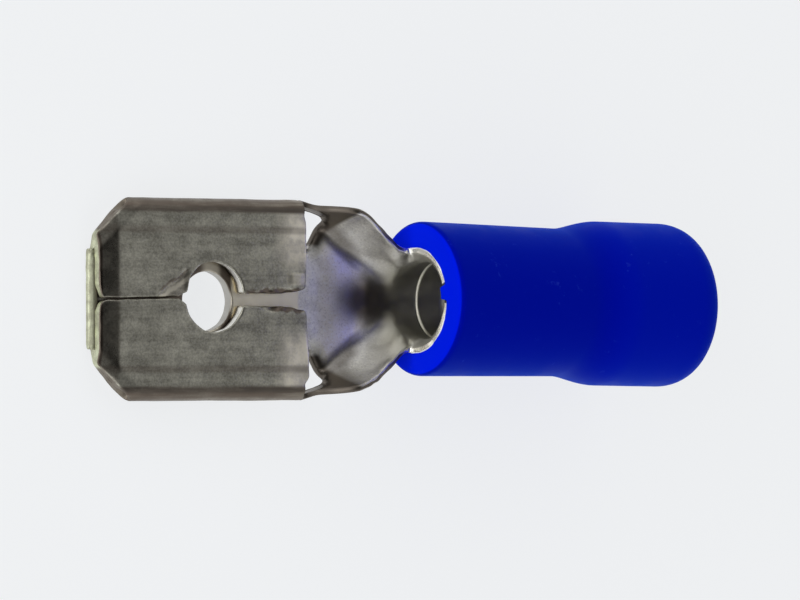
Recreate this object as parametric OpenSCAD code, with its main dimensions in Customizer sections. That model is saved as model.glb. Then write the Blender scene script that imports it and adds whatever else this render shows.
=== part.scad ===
// Insulated male spade terminal: a tab folded from thin sheet, a formed neck,
// a rolled crimp barrel and a stepped plastic sleeve.
// The wire enters along +X, the tab points to -X, and Z is up.
// The origin is on the barrel axis, in the back face of the sleeve.

/* [Sheet] */
// Thickness of the tinned brass sheet
sheet_t = 0.39; // [0.34:0.01:0.42]
// Gap left inside the flattened hem of the tab
hem_gap = 0.03; // [0.02:0.01:0.06]
// Sheet lost on each face where the neck is drawn
neck_thinning = 0.01; // [0.005:0.005:0.02]

/* [Tab] */
// Width over the folded edges
tab_w = 6.3; // [5.8:0.1:6.8]
// Length of the folded flaps
tab_len = 7.75; // [7:0.05:8.5]
// Corner cut at the tip, across the tab
tip_cut = 1.2; // [0.7:0.1:1.4]
// Corner cut at the tip, along the tab
tip_cut_len = 1.3; // [0.8:0.1:1.5]
// Length of the lead-in bevel on both faces
lead_len = 0.7; // [0.3:0.05:0.9]
// Depth of the lead-in bevel at the tip
lead_drop = 0.13; // [0.05:0.01:0.2]
// Width of the stub where the strip was cut off
stub_w = 3.1; // [2:0.1:3.6]
// Length of the stub where the strip was cut off
stub_len = 0.15; // [0.05:0.05:0.25]

/* [Detent hole] */
// Diameter of the hole through the base layer
hole_d = 1.85; // [1.5:0.05:2.1]
// Diameter of the hole that the flaps leave round it
flap_hole_d = 2.2; // [2.1:0.05:2.5]
// From the tip of the flaps to the middle of the hole
hole_pos = 4.25; // [3.6:0.05:4.6]

/* [Seam between the flaps] */
// Width of the seam in front of the hole
seam_front = 0.06; // [0.04:0.01:0.15]
// Width of the seam behind the hole
seam_back = 0.32; // [0.15:0.01:0.5]
// Width of the seam where it runs out at the back of the flaps
seam_mouth = 0.58; // [0.5:0.02:0.8]
// Length of the flared back end of the seam
mouth_len = 0.7; // [0.4:0.1:1]
// Width of the notch where the front seam meets the hole
notch_w = 0.34; // [0.2:0.02:0.5]
// Length of the notch where the front seam meets the hole
notch_len = 0.25; // [0.15:0.05:0.4]

/* [Neck] */
// From the back of the flaps to the rim of the barrel
neck_len = 3.7; // [3.4:0.1:4.2]
// From the back of the flaps to the shoulder of the wings
shoulder_pos = 0.6; // [0.4:0.05:0.8]
// Width over the shoulder of the wings, at mid sheet
shoulder_w = 5.8; // [5.4:0.02:5.9]
// Height of the shoulder above mid sheet of the floor
shoulder_h = 0.75; // [0.5:0.05:0.9]
// From the back of the flaps to the crest of the wings
crest_pos = 1.5; // [1.2:0.05:1.8]
// Width over the crest of the wings, at mid sheet
crest_w = 5.5; // [5:0.05:5.6]
// Height of the crest above mid sheet of the floor
crest_h = 1.5; // [1.2:0.05:1.7]
// Bend radius between floor and wing at the crest
crest_bend = 0.5; // [0.35:0.05:0.7]
// Sheet thickness left at the edge of the wings
wing_edge_t = 0.26; // [0.2:0.01:0.32]
// Belly of the wings below their edge
wing_belly = 0.1; // [0:0.02:0.16]
// Turn of the barrel wall that the neck carries on each side
trough_turn = 78; // [70:1:88]

/* [Relief windows] */
// Width of the floor left between the windows
bridge_w = 3.3; // [2.8:0.1:3.6]
// Length of the windows behind the flaps
window_len = 1; // [0.8:0.05:1.1]
// From the middle of the terminal to the back corner of a window
window_corner = 2.65; // [2.3:0.05:2.65]
// Sheet left outside each window at the back of the flaps
window_strip = 0.16; // [0.14:0.01:0.3]
// Corner radius of the windows
window_r = 0.15; // [0.1:0.05:0.25]

/* [Barrel] */
// Bore of the crimp barrel
barrel_bore = 2.4; // [2.2:0.05:2.5]
// Length of the crimp barrel
barrel_len = 5.5; // [5:0.1:6]
// Width of the butt seam along the barrel
barrel_seam = 0.45; // [0.1:0.05:0.6]
// Angle of the butt seam from the top
seam_turn = 8; // [0:1:15]
// Bevel inside the rim of the barrel
rim_bevel = 0.19; // [0.05:0.01:0.25]
// Number of grip grooves in the bore
groove_count = 4; // [1:1:4]
// From the rim to the first grip groove
groove_start = 0.85; // [0.6:0.05:1]
// Distance between grip grooves
groove_pitch = 1.2; // [0.8:0.1:1.2]
// Width of a grip groove
groove_w = 0.22; // [0.12:0.02:0.3]
// Depth of a grip groove
groove_depth = 0.1; // [0.05:0.01:0.14]

/* [Sleeve] */
// Length of the sleeve
sleeve_len = 10.3; // [9.6:0.1:11]
// From the rim of the barrel back to the front of the sleeve
sleeve_setback = 0.15; // [0:0.05:0.4]
// Clearance between sleeve and barrel, all round
sleeve_fit = 0.01; // [0.01:0.01:0.05]
// Diameter at the front end
front_d = 4.9; // [4.85:0.05:5.2]
// Diameter at the waist, just before the step
waist_d = 4.75; // [4.5:0.05:4.8]
// Diameter of the wire end
back_d = 5.3; // [5.1:0.05:5.6]
// Bore for the wire's insulation
entry_d = 4.3; // [4:0.05:4.5]
// Length of the wire end, behind the step
entry_len = 3.2; // [2.8:0.1:3.6]
// Length of the step between waist and wire end
step_len = 1.75; // [1.2:0.05:2]
// Edge radius of the sleeve's front
front_round = 0.25; // [0.1:0.01:0.3]
// Edge radius of the sleeve's back
back_round = 0.35; // [0.1:0.01:0.35]

/* [Hidden] */

fine = 96;
past = 0.5;

// Heights: the barrel axis is at zero and the tab lies level with the barrel's underside
barrel_r = barrel_bore / 2 + sheet_t;
barrel_mid_r = barrel_r - sheet_t / 2;
tab_t = 2 * sheet_t + hem_gap;
under_z = -barrel_r;
floor_z = -barrel_mid_r;

// Places along the axis, from the back of the sleeve to the tip
sleeve_front_x = -sleeve_len;
rim_x = sleeve_front_x - sleeve_setback;
flap_end_x = rim_x - neck_len;
flap_tip_x = flap_end_x - tab_len;
hole_x = flap_tip_x + hole_pos;

// The folded edge of the tab at mid sheet: where its floor ends, its radius and how far it turns
fold_y = (tab_w - tab_t) / 2;
fold_r = (tab_t - sheet_t) / 2;
fold_turn = 125;
fold_end = [fold_y + fold_r * sin(fold_turn), fold_r * (1 - cos(fold_turn))];

// The neck runs into the tab and the barrel by this much
lap = 0.12;
neck_t = sheet_t - 2 * neck_thinning;
least = 0.02;
rim_edge = barrel_mid_r * [sin(trough_turn), 1 - cos(trough_turn)];

// Neck sections by their place behind the flaps. The columns are: half floor, bend radius,
// the wing's edge across and up from mid floor, sheet at that edge, and belly of the wing.
half_floor = 1;
bend_r = 2;
edge_y = 3;
edge_z = 4;
edge_t = 5;
belly = 6;
function mid_of(a, b, share) = a + share * (b - a);
function crease_y(x) = fold_y * (1 - x / neck_len);
shoulder_bend = (fold_r + crest_bend) / 2;
tab_end = [fold_y, fold_r, fold_end.x, fold_end.y, neck_t, 0];
shoulder = [crease_y(shoulder_pos), shoulder_bend, shoulder_w / 2, shoulder_h, wing_edge_t, wing_belly / 2];
crest = [crease_y(crest_pos), crest_bend, crest_w / 2, crest_h, wing_edge_t, wing_belly];
rim_end = [least, barrel_mid_r, rim_edge.x, rim_edge.y, neck_t, 0];
throat_share = 0.6;
throat_pos = mid_of(crest_pos, neck_len, throat_share);
throat = mid_of(crest, rim_end, throat_share);
sections = [
    [-lap, each tab_end],
    [0, each tab_end],
    [shoulder_pos, each shoulder],
    [crest_pos, each crest],
    [throat_pos, each throat],
    [neck_len, each rim_end],
    [neck_len + lap, each rim_end]
];
last_section = len(sections) - 1;

// Value of one column of the sections at x, on a cubic that never overshoots
function rate(i, c) = (sections[i + 1][c] - sections[i][c]) / (sections[i + 1][0] - sections[i][0]);
function blend_rate(a, b) = a * b <= 0 ? 0 : 2 * a * b / (a + b);
function slope(i, c) = i == 0 || i == last_section ? 0 : blend_rate(rate(i - 1, c), rate(i, c));
function span_at(x, i = 0) = i >= last_section - 1 || x < sections[i + 1][0] ? i : span_at(x, i + 1);
function along(x, c) =
    let (i = span_at(x))
    let (run = sections[i + 1][0] - sections[i][0])
    let (u = (x - sections[i][0]) / run)
    (1 + 2 * u) * pow(1 - u, 2) * sections[i][c]
    + u * u * (3 - 2 * u) * sections[i + 1][c]
    + run * u * pow(1 - u, 2) * slope(i, c)
    + run * u * u * (u - 1) * slope(i + 1, c);

// One side of a section at mid sheet: [y, z, heading] at step k along floor, bend and wing
floor_steps = 4;
bend_steps = 8;
wing_steps = 6;
side_steps = floor_steps + bend_steps + wing_steps;
belly_peak = 27 / 4;
function wing_len(y, z, r) = max(least, sqrt(max(0, y * y + z * z - r * r)));
function bend_turn(y, z, r) = atan2(z, y) + atan2(r, wing_len(y, z, r));
function ahead(p, turn, run, out) =
    p + run * [cos(turn), sin(turn)] + out * [sin(turn), -cos(turn)];
function bend_point(half, r, turn) = [half + r * sin(turn), r * (1 - cos(turn))];
function wing_point(half, r, turn, wing, bulge, u) =
    let (out = bulge * belly_peak * u * u * (1 - u))
    let (dip = atan(bulge * belly_peak * (2 * u - 3 * u * u) / wing))
    [each ahead(bend_point(half, r, turn), turn, wing * u, out), turn - dip];
function side_point(k, half, r, turn, wing, bulge) =
    k <= floor_steps ? [half * k / floor_steps, 0, 0] :
    k <= floor_steps + bend_steps
        ? let (a = turn * (k - floor_steps) / bend_steps) [each bend_point(half, r, a), a]
        : wing_point(half, r, turn, wing, bulge, (k - floor_steps - bend_steps) / wing_steps);
function half_sheet(x, k) = mid_of(neck_t, along(x, edge_t), pow(k / side_steps, 2)) / 2;
function face_point(x, k, face) =
    let (half = along(x, half_floor), r = along(x, bend_r))
    let (y = along(x, edge_y) - half, z = along(x, edge_z) - r)
    let (wing = wing_len(y, z, r), turn = bend_turn(y, z, r))
    let (p = side_point(abs(k), half, r, turn, wing, along(x, belly)))
    let (lift = face * half_sheet(x, k))
    let (across = p[0] - lift * sin(p[2]), up = p[1] + lift * cos(p[2]))
    [flap_end_x + x, (k < 0 ? -across : across), floor_z + up];

// The neck as one skin: each ring runs along the outside of the sheet and back along the inside
neck_rings = 22;
ring_n = 2 * (2 * side_steps + 1);
function ring_x(j) = -lap + (neck_len + 2 * lap) * j / neck_rings;
function ring(x) = concat(
    [for (k = [-side_steps : side_steps]) face_point(x, k, -1)],
    [for (k = [side_steps : -1 : -side_steps]) face_point(x, k, 1)]
);
function end_strip(j, flip) = [
    for (k = [0 : 2 * side_steps - 1])
        let (o = j * ring_n, a = o + k, d = o + ring_n - 1 - k)
        flip ? [a, a + 1, d - 1, d] : [d, d - 1, a + 1, a]
];
module neck_skin() {
    points = [for (j = [0 : neck_rings]) each ring(ring_x(j))];
    skin = [
        for (j = [0 : neck_rings - 1], k = [0 : ring_n - 1])
            let (a = j * ring_n + k, b = j * ring_n + (k + 1) % ring_n)
            each [[a, a + ring_n, b + ring_n], [a, b + ring_n, b]]
    ];
    polyhedron(points, concat(end_strip(0, true), skin, end_strip(neck_rings, false)), convexity = 8);
}

// One relief window in plan, behind the flap on the +Y side
module window_plan() {
    inner = bridge_w / 2;
    outer = tab_w / 2 - window_strip;
    front = flap_end_x - lap - past;
    back = flap_end_x + window_len;
    polygon([
        [front, inner],
        [flap_end_x + window_len / 2, inner],
        [back, window_corner - window_r],
        [back - window_r, window_corner],
        [flap_end_x, outer],
        [front, outer]
    ]);
    translate([back - window_r, window_corner - window_r])
        circle(r = window_r, $fn = fine);
}

module neck() {
    difference() {
        neck_skin();
        for (side = [0, 1])
            mirror([0, side, 0])
                translate([0, 0, under_z - past])
                    linear_extrude(height = barrel_r + past)
                        window_plan();
    }
}

// Section of the folded tab, across and up, with its underside at zero
module tab_section() {
    difference() {
        union() {
            translate([-fold_y, 0])
                square([2 * fold_y, tab_t]);
            for (side = [-1, 1])
                translate([side * fold_y, tab_t / 2])
                    circle(d = tab_t, $fn = fine);
        }
        translate([-fold_y, sheet_t])
            square([2 * fold_y, hem_gap]);
        for (side = [-1, 1])
            translate([side * fold_y, tab_t / 2])
                circle(d = hem_gap, $fn = fine);
    }
}

// Outline of the tab in plan, with its corners cut at the tip
module tab_plan() {
    half = tab_w / 2;
    polygon([
        [flap_tip_x, half - tip_cut],
        [flap_tip_x + tip_cut_len, half],
        [flap_end_x, half],
        [flap_end_x, -half],
        [flap_tip_x + tip_cut_len, -half],
        [flap_tip_x, -half + tip_cut]
    ]);
}

// The seam and the hole that the two flaps leave between them, in plan
module seam_plan() {
    hole_front = hole_x - flap_hole_d / 2;
    translate([hole_x, 0])
        circle(d = flap_hole_d, $fn = fine);
    translate([flap_tip_x - past, -seam_front / 2])
        square([hole_pos + past, seam_front]);
    translate([hole_x, -seam_back / 2])
        square([flap_end_x - hole_x + past, seam_back]);
    polygon([
        [hole_front - notch_len, 0],
        [hole_front + notch_len, notch_w],
        [hole_front + notch_len, -notch_w]
    ]);
    polygon([
        [flap_end_x - mouth_len, seam_back / 2],
        [flap_end_x, seam_mouth / 2],
        [flap_end_x + past, seam_mouth / 2],
        [flap_end_x + past, -seam_mouth / 2],
        [flap_end_x, -seam_mouth / 2],
        [flap_end_x - mouth_len, -seam_back / 2]
    ]);
}

// The wedge that the lead-in bevel takes off one face, in X and Z
module lead_wedge() {
    rotate([90, 0, 0])
        linear_extrude(height = tab_w + 2 * past, center = true)
            polygon([
                [flap_tip_x - past, -lead_drop * (1 + past / lead_len)],
                [flap_tip_x + lead_len, 0],
                [flap_tip_x + lead_len, past],
                [flap_tip_x - past, past]
            ]);
}

module tab() {
    difference() {
        intersection() {
            translate([flap_tip_x, 0, under_z])
                rotate([90, 0, 90])
                    linear_extrude(height = tab_len)
                        tab_section();
            translate([0, 0, under_z - past])
                linear_extrude(height = tab_t + 2 * past)
                    tab_plan();
        }
        translate([0, 0, under_z + sheet_t + hem_gap / 2])
            linear_extrude(height = tab_t)
                seam_plan();
        translate([0, 0, under_z + tab_t])
            lead_wedge();
        translate([0, 0, under_z])
            mirror([0, 0, 1])
                lead_wedge();
        translate([hole_x, 0, under_z - past])
            cylinder(d = hole_d, h = tab_t + 2 * past, $fn = fine);
    }
}

// The stub of the carrier strip, at the tip of the base layer
module stub() {
    translate([flap_tip_x - stub_len, -stub_w / 2, under_z + lead_drop])
        cube([stub_len + lap, stub_w, sheet_t - lead_drop]);
}

// Wall of the barrel, radius across and length up, with its rim at zero
module barrel_wall() {
    difference() {
        translate([barrel_bore / 2, 0])
            square([sheet_t, barrel_len]);
        for (k = [0 : groove_count - 1])
            translate([barrel_bore / 2, groove_start + k * groove_pitch])
                polygon([
                    [-past, groove_w / 2],
                    [0, groove_w / 2],
                    [groove_depth, 0],
                    [0, -groove_w / 2],
                    [-past, -groove_w / 2]
                ]);
    }
}

// The bevel inside the rim, as far down each side as the rim is free of the neck
module free_rim_bevel() {
    rim_low = -barrel_mid_r * cos(trough_turn);
    intersection() {
        rotate([0, 90, 0])
            rotate_extrude($fn = fine)
                translate([barrel_bore / 2, 0])
                    polygon([
                        [-rim_bevel, 2 * rim_bevel],
                        [0, 2 * rim_bevel],
                        [rim_bevel, 0],
                        [rim_bevel, -rim_bevel],
                        [-rim_bevel, -rim_bevel]
                    ]);
        translate([-barrel_r, -barrel_r, rim_low])
            cube([2 * barrel_r, 2 * barrel_r, 2 * barrel_r]);
    }
}

module barrel() {
    translate([rim_x, 0, 0])
        difference() {
            rotate([0, 90, 0])
                rotate_extrude($fn = fine)
                    barrel_wall();
            free_rim_bevel();
            rotate([-seam_turn, 0, 0])
                translate([-past, -barrel_seam / 2, 0])
                    cube([barrel_len + 2 * past, barrel_seam, barrel_r + past]);
        }
}

module terminal() {
    color([0.45, 0.44, 0.41])
        union() {
            tab();
            stub();
            neck();
            barrel();
        }
}

// The step of the sleeve: one arc out of the waist and a like arc into the wire end
module sleeve_step() {
    rise = (back_d - waist_d) / 4;
    run = step_len / 2;
    bow = (run * run + rise * rise) / (2 * rise);
    intersection() {
        translate([back_d / 2 - bow, entry_len])
            circle(r = bow, $fn = fine);
        translate([0, entry_len])
            square([back_d / 2, run]);
    }
    difference() {
        translate([0, entry_len + run])
            square([waist_d / 2 + rise, run]);
        translate([waist_d / 2 + bow, entry_len + step_len])
            circle(r = bow, $fn = fine);
    }
}

// Half section of the sleeve, radius across and length up, with its back face at zero
module sleeve_section() {
    front_r = front_d / 2;
    back_r = back_d / 2;
    grip_r = barrel_r + sleeve_fit;
    step_end = entry_len + step_len;
    difference() {
        union() {
            square([back_r - back_round, back_round]);
            translate([back_r - back_round, back_round])
                circle(r = back_round, $fn = fine);
            translate([0, back_round])
                square([back_r, entry_len - back_round]);
            sleeve_step();
            polygon([
                [0, step_end],
                [waist_d / 2, step_end],
                [front_r, sleeve_len - front_round],
                [front_r - front_round, sleeve_len],
                [0, sleeve_len]
            ]);
            translate([front_r - front_round, sleeve_len - front_round])
                circle(r = front_round, $fn = fine);
        }
        polygon([
            [0, -past],
            [entry_d / 2, -past],
            [entry_d / 2, entry_len],
            [grip_r, step_end],
            [grip_r, sleeve_len + past],
            [0, sleeve_len + past]
        ]);
    }
}

module sleeve() {
    color([0.02, 0.06, 0.72])
        rotate([0, -90, 0])
            rotate_extrude($fn = fine)
                sleeve_section();
}

terminal();
sleeve();
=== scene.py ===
"""Looks of an insulated male spade terminal, laid out as an add-on and run as a script.

The metal is one blank, cut flat and then folded, drawn and rolled as the real one is.
A point of the blank is (x, s): x runs along the terminal, s across the sheet from its middle line.
Inside the functions lengths are in millimetres, and the meshes are made in metres.
"""

import math
from types import SimpleNamespace

import bpy
import numpy as np
from mathutils import Matrix, Vector
from mathutils.geometry import delaunay_2d_cdt


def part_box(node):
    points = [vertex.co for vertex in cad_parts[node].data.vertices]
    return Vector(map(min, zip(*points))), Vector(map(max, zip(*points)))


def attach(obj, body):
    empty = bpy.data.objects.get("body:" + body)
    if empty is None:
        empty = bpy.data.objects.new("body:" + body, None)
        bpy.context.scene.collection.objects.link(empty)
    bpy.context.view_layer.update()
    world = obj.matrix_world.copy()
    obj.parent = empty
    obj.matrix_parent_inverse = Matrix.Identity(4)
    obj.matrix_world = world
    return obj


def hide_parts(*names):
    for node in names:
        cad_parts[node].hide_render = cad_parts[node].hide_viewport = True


bl_info = {
    "name": "Spade terminal looks",
    "version": (1, 0, 0),
    "blender": (4, 5, 0),
    "location": "3D View > Sidebar > Terminal",
    "description": "Forms the tinned sheet, finishes the sleeve and sets the stage of a male spade terminal",
    "category": "Object",
}

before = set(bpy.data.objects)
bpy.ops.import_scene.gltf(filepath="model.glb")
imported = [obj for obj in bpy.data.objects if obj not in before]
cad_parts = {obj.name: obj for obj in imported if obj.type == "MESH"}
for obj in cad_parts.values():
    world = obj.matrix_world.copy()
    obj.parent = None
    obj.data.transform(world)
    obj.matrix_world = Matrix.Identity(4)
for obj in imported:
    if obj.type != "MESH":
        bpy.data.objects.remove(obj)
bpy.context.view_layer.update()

MM = 0.001
# A hair, to stay on one side of a station of the neck
NEAR = 1e-6
# Least length of a wing in a section
LEAST = 0.02
# Grip grooves in the barrel
GROOVES = 4
# Share of the lead-in over which it starts softly
LEAD_SOFT = 0.12
# Length and width of the curled front corner of each flap
UPPER_CURL = (0.18, 0.6)
LOWER_CURL = (0.32, 0.3)
# Share of the sheet at which the sheared edges have their own rows
EDGE_STEP = 0.12
# Shortest step along a cut edge
LEAST_STEP = 0.012
# Points that are measured at a time
BATCH = 2000
# Height of the fine relief of a surface
RELIEF = 0.006
# Direction of the lamp from the terminal
LAMP_SIDE = (-0.93, 0, 0.37)
# Width of the camera's film
FILM = 36


# Properties


def length(name, mm, description):
    return bpy.props.FloatProperty(
        name=name, description=description, default=mm * MM, unit="LENGTH", subtype="DISTANCE", precision=5
    )


def angle(name, degrees, description):
    return bpy.props.FloatProperty(
        name=name, description=description, default=math.radians(degrees), unit="ROTATION", subtype="ANGLE"
    )


def colour(name, red, green, blue, description):
    return bpy.props.FloatVectorProperty(
        name=name, description=description, default=(red, green, blue), subtype="COLOR", size=3, min=0, max=1
    )


def number(name, value, description):
    return bpy.props.FloatProperty(name=name, description=description, default=value)


class SheetSizes(bpy.types.PropertyGroup):
    """Sizes of the metal blank and of what it is formed into."""

    sheet_t: length("Sheet", 0.39, "Thickness of the tinned sheet")
    hem_gap: length("Hem gap", 0.03, "Gap left inside the flattened hem")
    edge_round: length("Edge round", 0.05, "Rounding of the sheared edges")
    tab_len: length("Flaps", 7.75, "Length of the folded flaps")
    tip_cut: length("Tip cut", 1.15, "Corner cut at the tip, across the tab")
    tip_cut_len: length("Tip cut length", 1.22, "Corner cut at the tip, along the tab")
    lead_len: length("Lead-in", 0.66, "Length of the lead-in bevel")
    lead_drop: length("Lead-in depth", 0.13, "Depth of the lead-in bevel at the tip")
    stub_w: length("Stub width", 3.1, "Width of the stub where the strip was cut off")
    stub_len: length("Stub length", 0.15, "Length of the stub where the strip was cut off")
    stub_break: length("Stub break", 0.16, "How far the broken end of the stub slopes down")
    corner_len: length("Corner pinch", 0.35, "Width of the pinched edge along the cut corners")
    corner_drop: length("Corner pinch depth", 0.15, "Depth of the pinched edge along the cut corners")
    hole_d: length("Hole", 1.85, "Diameter of the detent hole in the base")
    flap_hole_d: length("Flap hole", 2.2, "Diameter of the hole that the flaps leave")
    flap_shift: length("Flap hole shift", 0.08, "How far the flaps' hole sits off the middle")
    hole_pos: length("Hole place", 4.25, "From the tip of the flaps to the middle of the hole")
    seam_front: length("Front seam", 0.05, "Width of the seam in front of the hole")
    seam_slant: length("Seam slant", 0.06, "How far the front seam runs off the middle towards the hole")
    seam_back: length("Back seam", 0.40, "Width of the seam behind the hole")
    seam_mouth: length("Seam mouth", 0.66, "Width of the seam at the back of the flaps")
    mouth_len: length("Mouth length", 0.7, "Length of the flared back end of the seam")
    flap_slant: length("Flap slant", 0.16, "How far the end of the lower flap runs back towards its fold")
    seam_roll: length("Seam roll", 0.13, "Rounding of the flaps along the front seam")
    lip_push: length("Lip push", 0.1, "How far the upper flap is pushed into the hole beside the notch")
    notch_w: length("Notch width", 0.34, "Width of the notch where the front seam meets the hole")
    notch_len: length("Notch length", 0.25, "Length of the notch where the front seam meets the hole")
    press_off: length("Press place", 0.87, "From the middle to the edge of the pressed lip, at the hole")
    press_slope: number("Press slope", 0.57, "Slope of the edge of the pressed lip")
    press_depth: length("Press depth", 0.06, "Depth of the pressed lip in front of the hole")
    notch_dent: length("Notch dent", 0.05, "Depth of the dent at the notch")
    flap_droop: length("Flap droop", 0.05, "How far the back corners of the flaps droop")
    flap_crown: length("Flap crown", 0.015, "Rise of the flaps towards the seam")
    pad_h: length("Pad", 0.03, "Height of the pad that the tool leaves at the back of the upper flap")
    chip_depth: length("Seam chips", 0.1, "Depth of the dents along the back seam")
    sheet_wave: length("Sheet wave", 0.004, "Waviness of the sheet")
    cut_rough: length("Cut roughness", 0.004, "Roughness of the sheared edges")
    neck_len: length("Neck", 3.7, "From the back of the flaps to the rim of the barrel")
    fold_turn: angle("Fold turn", 125, "Turn of the folded edge that the neck carries on")
    shoulder_pos: length("Shoulder place", 0.6, "From the back of the flaps to the shoulder")
    shoulder_w: length("Shoulder width", 5.8, "Width over the shoulder, at mid sheet")
    shoulder_h: length("Shoulder height", 0.75, "Height of the shoulder above the floor")
    crest_pos: length("Crest place", 1.5, "From the back of the flaps to the crest of the wings")
    crest_w: length("Crest width", 5.55, "Width over the crest, at mid sheet")
    crest_h: length("Crest height", 1.5, "Height of the crest above the floor")
    crest_bend: length("Crest bend", 0.5, "Bend radius between floor and wing at the crest")
    wing_edge_t: length("Wing edge", 0.2, "Sheet left at the edge of the wings")
    wing_bow: angle("Wing bow", 19, "How far the wings bow, and how much less their bend turns for it")
    low_flare: length("Low flare", 0.14, "How much more the lower wing opens than the upper one")
    throat_share: number("Throat place", 0.6, "Share of the way from crest to rim")
    trough_turn: angle("Trough turn", 78, "Turn of the barrel wall that the neck carries on each side")
    floor_rise: length("Floor rise", 0.14, "Rise of the floor in front of the barrel")
    bridge_w: length("Bridge", 3.3, "Floor left between the relief windows")
    window_len: length("Window", 1.0, "Length of the relief windows")
    window_corner: length("Window corner", 2.65, "From the middle to the back corner of a window")
    window_strip: length("Window strip", 0.16, "Sheet left outside each window at the flaps")
    window_roll: length("Window roll", 0.1, "How far the sheet rolls off at the back of a window")
    window_r: length("Window round", 0.15, "Corner radius of the windows")
    barrel_seam: length("Barrel seam", 0.45, "Width of the butt seam along the barrel")
    seam_turn: angle("Seam turn", 8, "Angle of the butt seam from the top")
    rim_bevel: length("Rim bevel", 0.19, "Bevel inside the free rim of the barrel")
    rim_flare: length("Rim flare", 0.07, "How far the free rim opens in front of the sleeve")
    rim_burr: length("Rim burr", 0.014, "Roughness of the free rim")
    groove_start: length("First groove", 0.94, "From the rim to the first grip groove")
    groove_pitch: length("Groove pitch", 1.2, "Distance between the grip grooves")
    groove_w: length("Groove width", 0.13, "Width of a grip groove")
    groove_depth: length("Groove depth", 0.075, "Depth of a grip groove")


class SleeveSizes(bpy.types.PropertyGroup):
    """Sizes of the plastic sleeve."""

    front_d: length("Front", 4.9, "Diameter at the front end")
    waist_d: length("Waist", 4.75, "Diameter just before the step")
    back_d: length("Back", 5.3, "Diameter of the wire end")
    grip_d: length("Grip", 3.2, "Bore that holds the barrel")
    entry_d: length("Entry", 4.3, "Bore for the wire's insulation")
    entry_len: length("Entry length", 3.2, "Length of the wire end, behind the step")
    step_len: length("Step", 1.75, "Length of the step between waist and wire end")
    front_round: length("Front round", 0.25, "Edge radius of the front")
    back_round: length("Back round", 0.7, "Length of the rounding of the back edge")
    bore_round: length("Bore round", 0.04, "Edge radius of the bores")
    seam_push: length("Seam push", 0.22, "How far the soft front presses into the barrel's seam")
    cut_lean: length("Cut lean", 0.15, "How far the cut front leans forward at the top")
    skew: angle("Skew", 0.9, "How far the sleeve sits askew on the barrel")


class FinishColours(bpy.types.PropertyGroup):
    """Colours of the metal and of the plastic."""

    tin: colour("Tin", 0.60, 0.585, 0.50, "Tin plating of the flaps")
    tin_dull: colour("Dull tin", 0.27, 0.262, 0.222, "Tin plating where the flaps are scuffed")
    # Bright tin of the neck, partly a painted highlight that stands in for the bright reflection on the wing
    # faces
    tin_bright: colour("Bright tin", 0.90, 0.89, 0.88, "Tin plating of the neck, left bright by the tools")
    # Brown stain; also laid on as painted shade at the folds, the lead-in and the hem gap, and as painted
    # shadow at the pressed lip
    stain: colour("Stain", 0.165, 0.135, 0.11, "Brown stain along folds and edges")
    brass: colour("Brass", 0.68, 0.70, 0.51, "Bare brass of the sheared front edge")
    brass_dull: colour("Dull brass", 0.24, 0.21, 0.17, "Bare brass of the other sheared edges")
    # Dark sheared edges; also laid on as painted shade in the neck's bends, corners, throat and window facets
    # and along the flaps' fold
    edge_dark: colour("Dark edge", 0.15, 0.13, 0.11, "Sheared edges of the neck, dulled by the tools")
    # Burnished metal; also laid on as painted highlight on the hole's walls and the rim, and as painted
    # glints on the neck
    burnish: colour("Burnished rim", 0.97, 0.96, 0.91, "Burnished rim of the barrel")
    # Rubbed tin; also laid on as the painted highlight inside the pressed lip
    worn_tin: colour("Worn tin", 0.98, 0.92, 0.77, "Tin plating rubbed at the ends of the flaps")
    # Painted shade: a darker tin laid on the lower wing and from the throat into the barrel
    tin_bore: colour("Tin in the bore", 0.56, 0.545, 0.47, "Tin plating inside the barrel")
    blue: colour("Blue", 0.0, 0.004, 0.47, "Plastic of the sleeve")
    # Lighter blue towards the wire end
    blue_thin: colour("Thin blue", 0.0, 0.006, 0.54, "Plastic of the wire end, where the wall is thin")
    # Painted light: a bright blue for the front face, which faces the lamp
    blue_cut: colour("Cut blue", 0.0, 0.012, 1.0, "Plastic of the cut front of the sleeve")
    blue_dust: colour("Dust", 0.05, 0.10, 0.75, "Dust specks on the sleeve")
    blue_sheen: colour("Sheen", 0.0, 0.14, 1.0, "Soft sheen of the sleeve")
    floor: colour("Floor", 0.84, 0.855, 0.87, "Plain pale floor")


class StageSizes(bpy.types.PropertyGroup):
    """Camera and floor."""

    reach: length("Reach", 210, "From the camera to the middle of the terminal")
    tilt: angle("Tilt", 36.70, "Tilt of the view from straight down, towards the tab")
    yaw: angle("Yaw", 0.982, "Turn of the view to the side")
    roll: angle("Roll", -0.329, "Roll of the camera about its view")
    lens: length("Lens", 298.3, "Focal length of the camera")
    aim: bpy.props.FloatVectorProperty(
        name="Aim",
        description="Point that the middle of the picture looks at, before the two shifts",
        default=(-11 * MM, 0, -0.8 * MM),
        unit="LENGTH",
        subtype="TRANSLATION",
        precision=5,
    )
    aim_right: length("Aim right", 0.438, "Shift of the aim to the right in the picture")
    aim_up: length("Aim up", 0.0195, "Shift of the aim upwards in the picture")
    floor_size: length("Floor size", 3000, "Side of the square floor")
    floor_gap: length("Floor gap", 0.01, "Air under the terminal")
    floor_glow: number("Floor glow", 0.88, "How bright the floor looks without any light")
    lamp_size: length("Lamp", 400, "Diameter of the lamp")
    lamp_reach: length("Lamp reach", 350, "From the lamp to the terminal")
    lamp_power: number("Lamp power", 0.32, "Power of the lamp, in watts")


def plain(group):
    """The group's values, with lengths in millimetres."""
    values = SimpleNamespace()
    for key in group.__annotations__:
        value = getattr(group, key)
        is_length = group.bl_rna.properties[key].unit == "LENGTH"
        setattr(values, key, value / MM if is_length else value)
    return values


# The blank and its forming


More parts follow.
